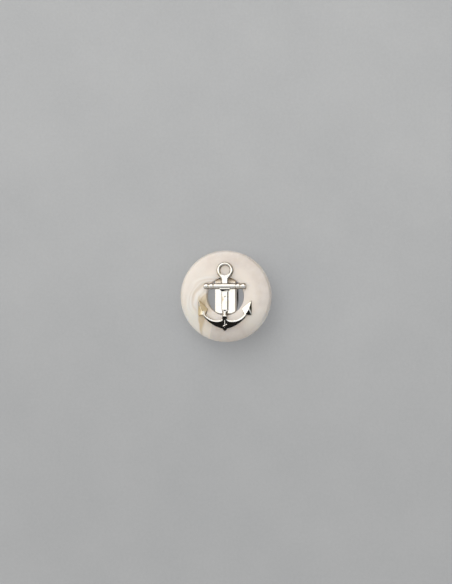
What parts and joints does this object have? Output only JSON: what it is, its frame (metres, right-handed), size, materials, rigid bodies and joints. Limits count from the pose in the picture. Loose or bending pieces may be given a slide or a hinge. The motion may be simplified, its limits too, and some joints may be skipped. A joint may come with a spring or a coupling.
{
  "type": "sew on shank button",
  "caption": "Round pearl-effect ring button with a polished anchor motif on a plugged-in shank block, sewn on through a thread tunnel.",
  "frame": {"origin": "on the button's axis at the foot of the shank, where it stands on the cloth", "axes": "+Z out of the button's face, +X along the thread tunnel, +Y from the anchor's crown towards its ring"},
  "size_m": [0.02, 0.02, 0.0078],
  "materials": {
    "pearl_plastic": "polished pearl-effect polyester with swirls",
    "plated_metal": "bright mirror plating on a die casting",
    "adhesive": "clear amber cured adhesive"
  },
  "bodies": {
    "root": {"pearl_ring": "pearl_plastic", "anchor": "plated_metal", "shank_block": "plated_metal", "adhesive_pads": "adhesive"}
  },
  "joints": []
}
